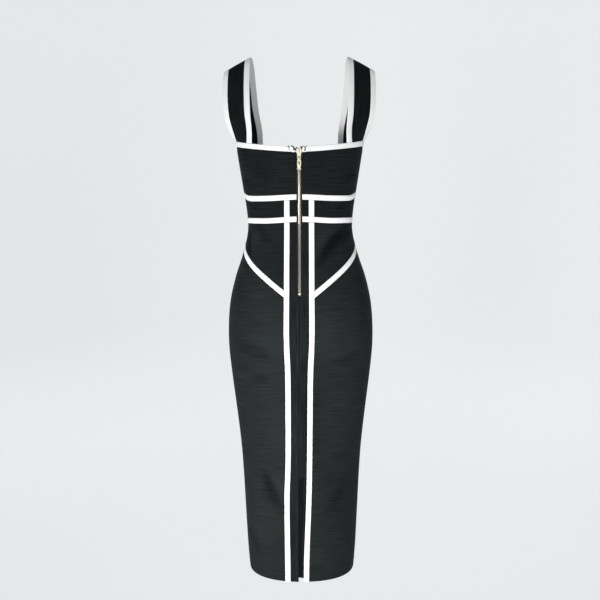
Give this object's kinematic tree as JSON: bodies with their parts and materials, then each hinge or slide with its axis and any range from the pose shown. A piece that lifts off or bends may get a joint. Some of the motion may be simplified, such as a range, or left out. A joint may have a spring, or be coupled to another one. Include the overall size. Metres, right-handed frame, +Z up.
{
  "type": "sleeveless bodycon midi dress",
  "caption": "Sleeveless ribbed knit midi dress, black with white binding trims on every seam, wide straps, an exposed metal back zip and a back vent, hollow in its worn shape.",
  "frame": {"origin": "midway between the tops of the two shoulder straps, where the wearer's shoulders hold the dress", "axes": "+Z up, the wearer faces +Y, so the back with its zip faces -Y and the wearer's right side is +X"},
  "size_m": [0.3368, 0.2259, 1.1816],
  "materials": {
    "knit": "matt charcoal black rib knit with a faint sheen",
    "trim": "white flat woven stretch tape with two lines of stitching",
    "zip_tape": "black woven zip tape",
    "metal": "polished pale champagne gold"
  },
  "bodies": {
    "dress": {"back_bodice_right": "knit", "back_bodice_left": "knit", "back_waist_side_right": "knit", "back_waist_side_left": "knit", "back_waist_centre_right": "knit", "back_waist_centre_left": "knit", "back_yoke_right": "knit", "back_yoke_left": "knit", "back_skirt_right": "knit", "back_skirt_left": "knit", "back_centre_strip_right": "knit", "back_centre_strip_left": "knit", "front_bodice": "knit", "front_waist": "knit", "front_skirt": "knit", "strap_right": "knit", "strap_left": "knit", "back_neckline_trim_right": "trim", "back_neckline_trim_left": "trim", "back_waist_trim_right": "trim", "back_waist_trim_left": "trim", "back_lower_trim_right": "trim", "back_lower_trim_left": "trim", "centre_trim_waist_right": "trim", "centre_trim_waist_left": "trim", "centre_trim_right": "trim", "centre_trim_left": "trim", "hip_trim_right": "trim", "hip_trim_left": "trim", "strap_inner_trim_right": "trim", "strap_inner_trim_left": "trim", "armhole_trim_right": "trim", "armhole_trim_left": "trim", "front_neckline_trim": "trim", "front_waist_trim": "trim", "front_lower_trim": "trim", "zip_tape_right": "zip_tape", "zip_tape_left": "zip_tape", "zip_chain_right": "metal", "zip_chain_left": "metal", "zip_stop": "metal", "zip_slider": "metal"},
    "zip_link": {"zip_link": "metal"},
    "zip_pull": {"zip_pull": "metal"}
  },
  "joints": [
    {"name": "link_hinge", "type": "hinge", "parent": "dress", "child": "zip_link", "pos_m": [0, -0.09148, -0.2014], "axis": [-1, 0, 0], "range_deg": [0, 140]},
    {"name": "pull_hinge", "type": "hinge", "parent": "zip_link", "child": "zip_pull", "pos_m": [0, -0.09148, -0.21005], "axis": [-1, 0, 0], "range_deg": [-4, 60]}
  ]
}
